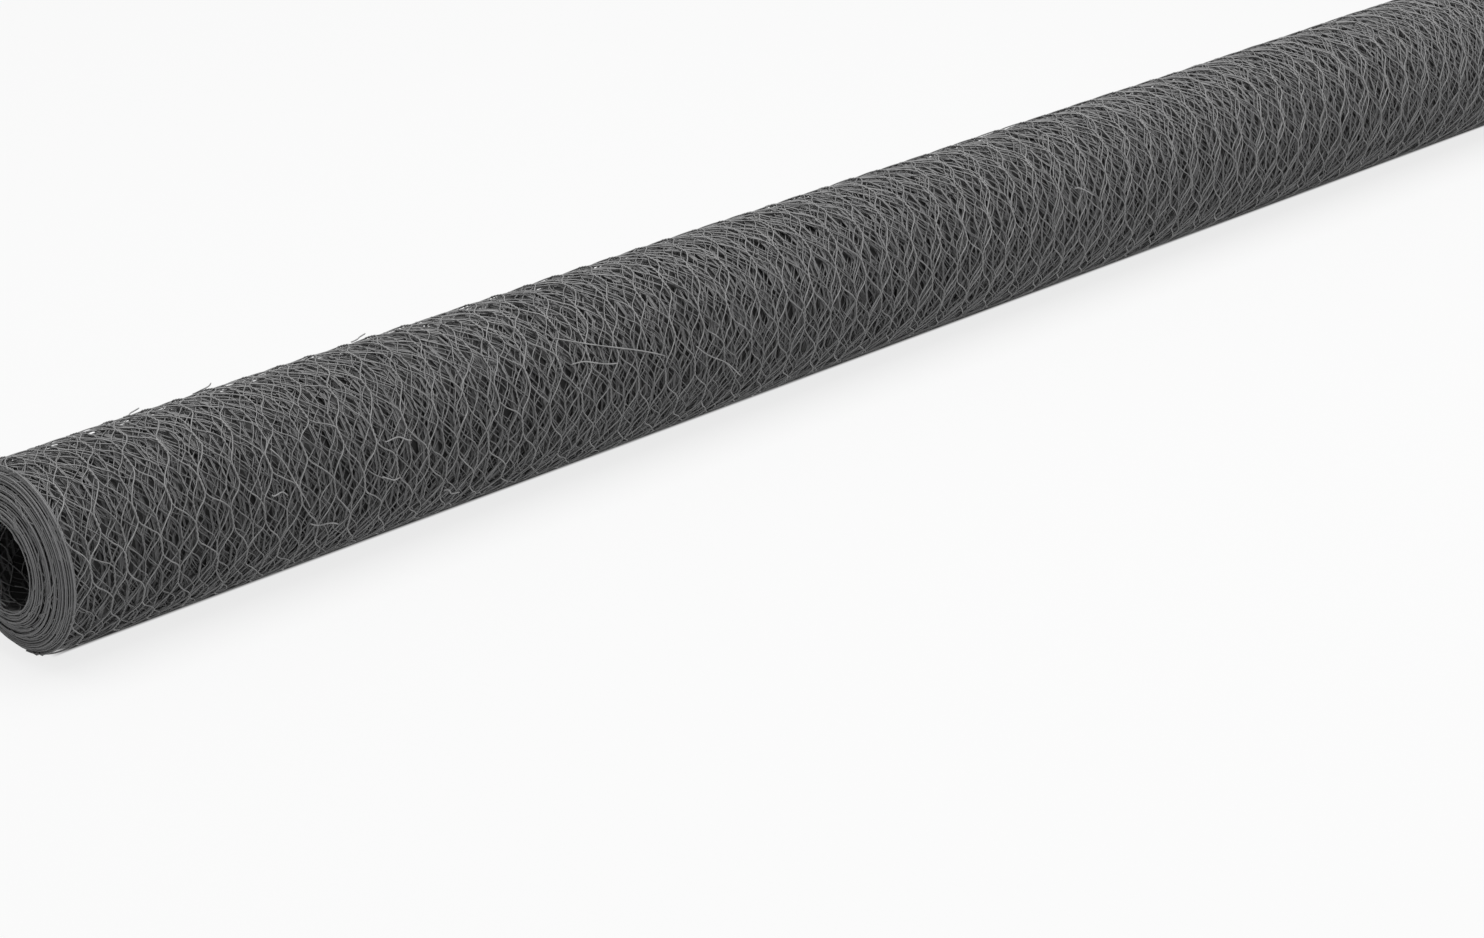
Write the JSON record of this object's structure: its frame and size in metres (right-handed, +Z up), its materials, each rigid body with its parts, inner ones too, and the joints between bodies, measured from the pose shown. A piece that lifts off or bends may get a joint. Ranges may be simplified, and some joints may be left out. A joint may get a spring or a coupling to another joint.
{
  "type": "roll of hexagonal wire netting",
  "caption": "Long roll of coated hexagonal wire netting lying on its side, with an open bore and the rims of its wound turns showing on both ends.",
  "frame": {"origin": "on the floor, straight under the middle of the roll lying on its side", "axes": "+X along the roll's axis towards the end whose turns are set back, so the turns that stand out face -X; +Z up"},
  "size_m": [1.5122, 0.1186, 0.1185],
  "materials": {
    "coated_wire": "semi-matt dark grey plastic coating on steel wire"
  },
  "bodies": {
    "root": {"netting_roll": "coated_wire"}
  },
  "joints": []
}
